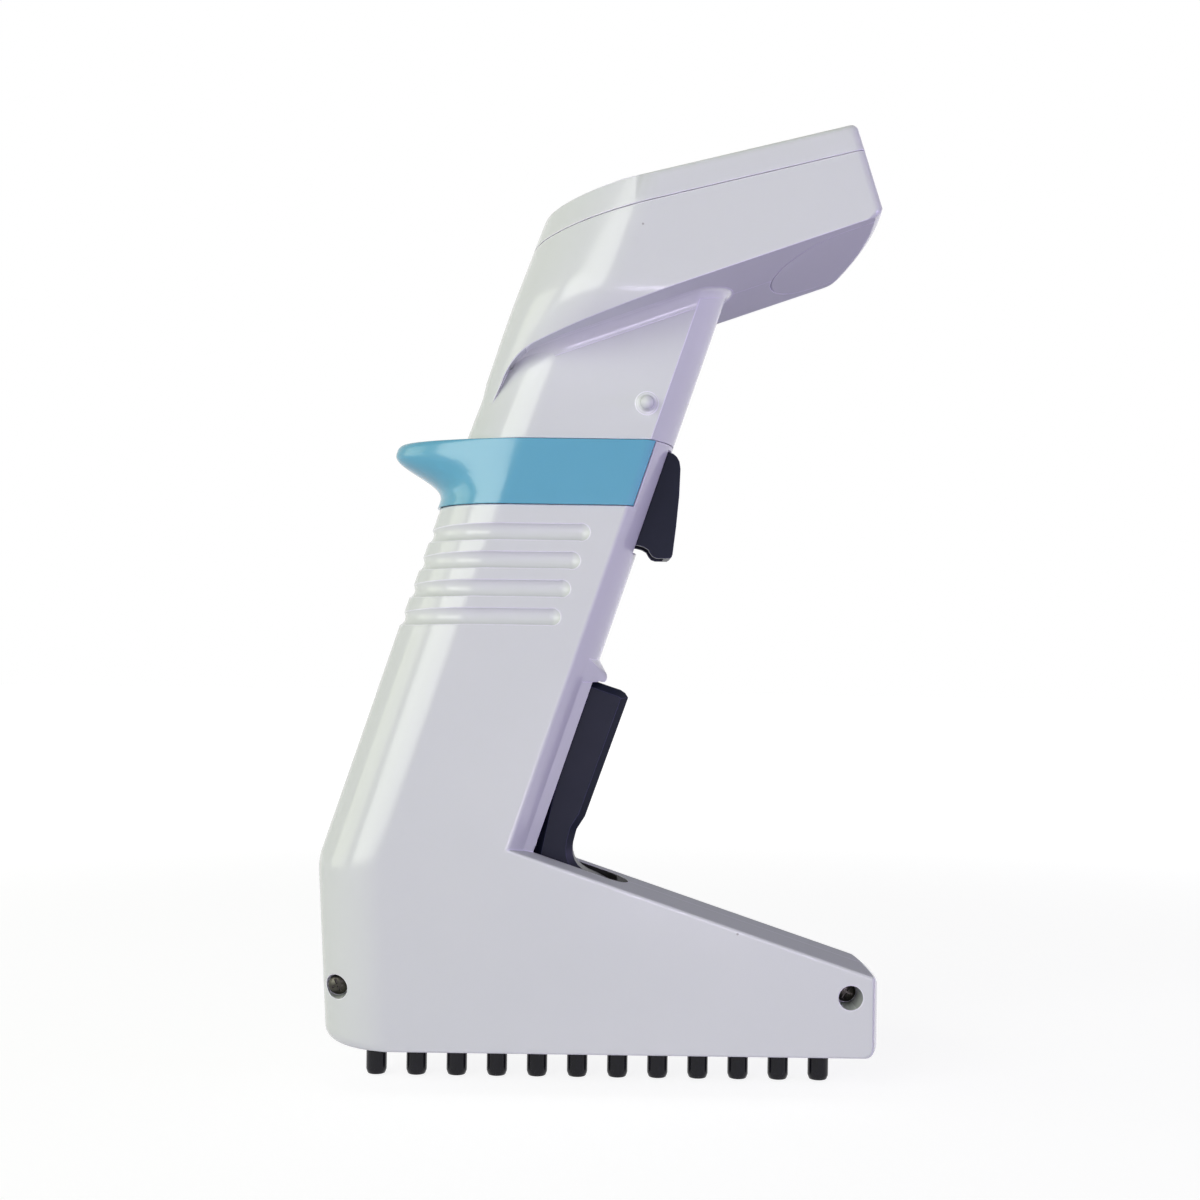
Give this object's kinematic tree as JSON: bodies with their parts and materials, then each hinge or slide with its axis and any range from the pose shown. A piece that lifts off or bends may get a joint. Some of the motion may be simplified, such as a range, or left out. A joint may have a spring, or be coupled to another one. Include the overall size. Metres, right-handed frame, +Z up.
{
  "type": "electronic multichannel pipette",
  "caption": "Hand-held electronic pipette with a leaning grip, a wide display head, a finger hook, a trigger, an ejector lever and a straight row of nozzles.",
  "frame": {"origin": "centre of the bounding box in plan, at the level of the nozzle ends", "axes": "+Z up, +X along the nozzle row from the palm side to the front, +Y to the user's left"},
  "size_m": [0.1248, 0.06, 0.2047],
  "materials": {
    "casing": "gloss",
    "hook": "gloss",
    "controls": "satin",
    "nozzle": "gloss",
    "lens": "gloss",
    "display": "matte",
    "keys": "matte",
    "circuit_board": "satin",
    "battery": "satin",
    "switch_black": "matte",
    "steel": "brushed",
    "rotor": "satin",
    "seal": "matte",
    "acetal": "satin"
  },
  "bodies": {
    "casing": {"lower_housing_right": "casing", "lower_housing_left": "casing", "upper_housing_right": "casing", "upper_housing_left": "casing", "finger_hook": "hook", "head_cover": "casing", "battery_door": "casing", "display_lens": "lens", "display_module": "display", "keypad_board": "circuit_board", "main_board": "circuit_board", "battery_pack": "battery", "buzzer": "switch_black", "trigger_pin": "steel", "trigger_switch": "switch_black", "ejector_pin": "steel", "motor_case": "steel", "motor_bracket": "steel", "cylinder_block": "acetal", "seal_strip": "seal", "seal_retainer": "steel", "guide_rod_1": "steel", "guide_rod_2": "steel", "housing_screw_1": "steel", "housing_screw_2": "steel", "block_screw_1": "steel", "block_screw_2": "steel", "ejector_spring_1": "steel", "ejector_spring_2": "steel", "nozzle_01": "nozzle", "nozzle_02": "nozzle", "nozzle_03": "nozzle", "nozzle_04": "nozzle", "nozzle_05": "nozzle", "nozzle_06": "nozzle", "nozzle_07": "nozzle", "nozzle_08": "nozzle", "nozzle_09": "nozzle", "nozzle_10": "nozzle", "nozzle_11": "nozzle", "nozzle_12": "nozzle"},
    "trigger": {"trigger": "controls"},
    "ejector_lever": {"ejector_lever": "controls"},
    "ejector_frame": {"ejector_yoke": "acetal", "ejector_plate": "casing"},
    "drive_rotor": {"motor_rotor": "rotor", "lead_screw": "steel"},
    "piston_carrier": {"piston_carrier": "acetal"},
    "key_1": {"key_1": "keys"},
    "key_2": {"key_2": "keys"},
    "key_3": {"key_3": "keys"},
    "key_4": {"key_4": "keys"},
    "key_5": {"key_5": "keys"},
    "key_6": {"key_6": "keys"}
  },
  "joints": [
    {"name": "trigger_hinge", "type": "hinge", "parent": "casing", "child": "trigger", "pos_m": [0.00842, 0, 0.136], "axis": [0, 1, 0], "range_deg": [0, 8], "stiffness_Nm_per_rad": 0.3, "springref_deg": -8.59},
    {"name": "ejector_lever_hinge", "type": "hinge", "parent": "casing", "child": "ejector_lever", "pos_m": [0.00163, 0, 0.04145], "axis": [0, -1, 0], "range_deg": [0, 10], "stiffness_Nm_per_rad": 0.9, "springref_deg": -3.44},
    {"name": "ejector_slide", "type": "slide", "parent": "casing", "child": "ejector_frame", "axis": [0, 0, -1], "range_m": [0, 0.00465], "deforming": ["ejector_spring_1", "ejector_spring_2"]},
    {"name": "rotor_spin", "type": "hinge", "parent": "casing", "child": "drive_rotor", "pos_m": [-0.0335, 0, 0.07], "axis": [0, 0, 1], "range_deg": [0, 720]},
    {"name": "carrier_slide", "type": "slide", "parent": "casing", "child": "piston_carrier", "axis": [0, 0, 1], "range_m": [0, 0.005]},
    {"name": "key_1_press", "type": "slide", "parent": "casing", "child": "key_1", "axis": [0.2419, 0, -0.9703], "range_m": [0, 0.0006], "stiffness_N_per_m": 300, "springref_m": -0.002},
    {"name": "key_2_press", "type": "slide", "parent": "casing", "child": "key_2", "axis": [0.2419, 0, -0.9703], "range_m": [0, 0.0006], "stiffness_N_per_m": 300, "springref_m": -0.002},
    {"name": "key_3_press", "type": "slide", "parent": "casing", "child": "key_3", "axis": [0.2419, 0, -0.9703], "range_m": [0, 0.0006], "stiffness_N_per_m": 300, "springref_m": -0.002},
    {"name": "key_4_press", "type": "slide", "parent": "casing", "child": "key_4", "axis": [0.2419, 0, -0.9703], "range_m": [0, 0.0006], "stiffness_N_per_m": 300, "springref_m": -0.002},
    {"name": "key_5_press", "type": "slide", "parent": "casing", "child": "key_5", "axis": [0.2419, 0, -0.9703], "range_m": [0, 0.0006], "stiffness_N_per_m": 300, "springref_m": -0.002},
    {"name": "key_6_press", "type": "slide", "parent": "casing", "child": "key_6", "axis": [0.2419, 0, -0.9703], "range_m": [0, 0.0006], "stiffness_N_per_m": 300, "springref_m": -0.002}
  ],
  "couplings": [
    {"joint": "ejector_slide", "follows": "ejector_lever_hinge", "m_per_rad": 0.0265},
    {"joint": "carrier_slide", "follows": "rotor_spin", "m_per_rad": 0.00039789}
  ]
}
